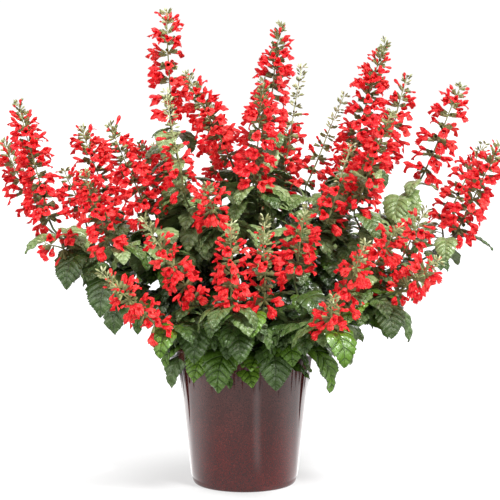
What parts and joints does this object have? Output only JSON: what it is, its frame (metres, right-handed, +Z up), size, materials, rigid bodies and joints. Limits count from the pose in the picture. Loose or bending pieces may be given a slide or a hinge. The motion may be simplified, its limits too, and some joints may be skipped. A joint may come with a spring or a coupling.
{
  "type": "potted scarlet salvia",
  "caption": "Scarlet salvia in full flower, with leafy square stems and dense red flower spikes, growing in a tall glazed pot.",
  "frame": {"origin": "middle of the pot's underside, on the surface that it stands on", "axes": "+Z up along the pot's axis, +X to the right of the plant's front, -Y towards the viewer"},
  "size_m": [0.9154, 0.7011, 0.859],
  "materials": {
    "pot_glaze": "glossy speckled red-brown glaze",
    "soil": "matt dark potting soil",
    "foliage": "satin green leaf with paler veins",
    "petals": "soft scarlet petal"
  },
  "bodies": {
    "root": {"pot": "pot_glaze", "soil": "soil", "stem_01": "foliage", "stem_02": "foliage", "stem_03": "foliage", "stem_04": "foliage", "stem_05": "foliage", "stem_06": "foliage", "stem_07": "foliage", "stem_08": "foliage", "stem_09": "foliage", "stem_10": "foliage", "stem_11": "foliage", "stem_12": "foliage", "stem_13": "foliage", "stem_14": "foliage", "stem_15": "foliage", "spike_01": "petals", "spike_02": "petals", "spike_03": "petals", "spike_04": "petals", "spike_05": "petals", "spike_06": "petals", "spike_07": "petals", "spike_08": "petals", "spike_09": "petals", "spike_10": "petals", "spike_11": "petals", "spike_12": "petals", "spike_13": "petals", "spike_14": "petals", "spike_15": "petals", "spike_16": "petals", "spike_17": "petals", "spike_18": "petals", "spike_19": "petals", "spike_20": "petals", "spike_21": "petals", "spike_22": "petals", "spike_23": "petals", "spike_24": "petals", "spike_25": "petals", "spike_26": "petals", "spike_27": "petals", "spike_28": "petals", "spike_29": "petals", "spike_30": "petals", "spike_31": "petals", "spike_32": "petals", "spike_33": "petals", "spike_34": "petals", "spike_35": "petals", "spike_36": "petals", "spike_37": "petals", "spike_38": "petals", "spike_39": "petals", "spike_40": "petals", "spike_41": "petals", "spike_42": "petals"}
  },
  "joints": []
}
